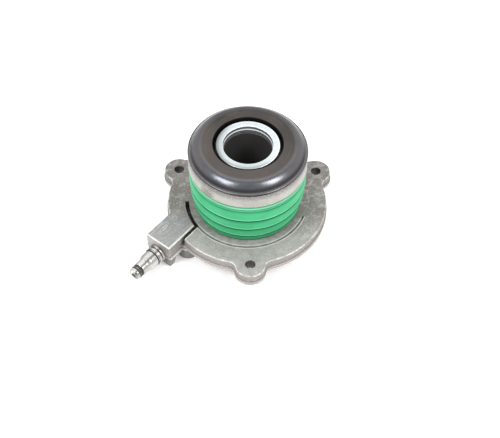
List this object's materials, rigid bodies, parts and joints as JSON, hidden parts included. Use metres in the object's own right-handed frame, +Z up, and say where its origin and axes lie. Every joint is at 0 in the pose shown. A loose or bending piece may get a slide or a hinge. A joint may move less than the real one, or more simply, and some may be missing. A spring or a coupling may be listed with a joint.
{
  "type": "clutch slave cylinder",
  "caption": "Concentric clutch slave cylinder: cast flange with bolt ears and inlet nipple, ribbed rubber boot, sliding annular piston and release bearing.",
  "frame": {"origin": "middle of the part's footprint, at the level of the hub's lower face that it stands on", "axes": "+Z up along the bore axis, from the gearbox side to the clutch side; the inlet nipple points to -X -Y"},
  "size_m": [0.1294, 0.115, 0.0754],
  "materials": {
    "cast_aluminium": "die cast, lightly brushed on top",
    "plated_steel": "bright plated",
    "bearing_steel": "dark hardened and oiled",
    "ball_steel": "ground",
    "carrier_sheet": "pale plated sheet",
    "spring_steel": "dark drawn wire",
    "boot_rubber": "satin green",
    "black_rubber": "satin black",
    "piston_plastic": "glass filled",
    "cage_plastic": "moulded"
  },
  "bodies": {
    "cylinder_body": {"housing": "cast_aluminium", "guide_sleeve": "plated_steel", "sleeve_o_ring": "black_rubber", "hub_face_o_ring": "black_rubber", "shaft_seal_case": "plated_steel", "shaft_seal_lip": "black_rubber", "shaft_seal_spring": "spring_steel", "stop_ring": "piston_plastic", "spring_seat_lower": "plated_steel", "dust_boot": "boot_rubber", "preload_spring": "spring_steel", "inlet_nipple": "plated_steel", "nipple_o_ring_front": "black_rubber", "nipple_o_ring_rear": "black_rubber", "nipple_socket_o_ring": "black_rubber", "nipple_clip_ring": "spring_steel"},
    "bearing_slide": {"bearing_carrier": "carrier_sheet", "piston": "piston_plastic", "piston_seal": "black_rubber", "spring_seat_upper": "plated_steel", "fixed_race": "ball_steel", "inner_bearing_shield": "black_rubber", "outer_bearing_seal": "black_rubber"},
    "turning_ring": {"contact_ring": "bearing_steel"},
    "ball_set": {"ball_cage": "cage_plastic", "ball_01": "ball_steel", "ball_02": "ball_steel", "ball_03": "ball_steel", "ball_04": "ball_steel", "ball_05": "ball_steel", "ball_06": "ball_steel", "ball_07": "ball_steel", "ball_08": "ball_steel", "ball_09": "ball_steel", "ball_10": "ball_steel", "ball_11": "ball_steel", "ball_12": "ball_steel", "ball_13": "ball_steel", "ball_14": "ball_steel", "ball_15": "ball_steel", "ball_16": "ball_steel", "ball_17": "ball_steel", "ball_18": "ball_steel"}
  },
  "joints": [
    {"name": "bearing_travel", "type": "slide", "parent": "cylinder_body", "child": "bearing_slide", "axis": [0, 0, 1], "range_m": [-0.014, 0], "stiffness_N_per_m": 3000, "springref_m": 0.027, "deforming": ["preload_spring", "dust_boot"]},
    {"name": "bearing_spin", "type": "hinge", "parent": "bearing_slide", "child": "turning_ring", "pos_m": [0.00907, 0.00512, 0.06757], "axis": [0, 0, 1], "continuous": true},
    {"name": "cage_spin", "type": "hinge", "parent": "bearing_slide", "child": "ball_set", "pos_m": [0.00907, 0.00512, 0.06757], "axis": [0, 0, 1], "continuous": true}
  ],
  "couplings": [
    {"joint": "cage_spin", "follows": "bearing_spin", "ratio": 0.4572}
  ]
}
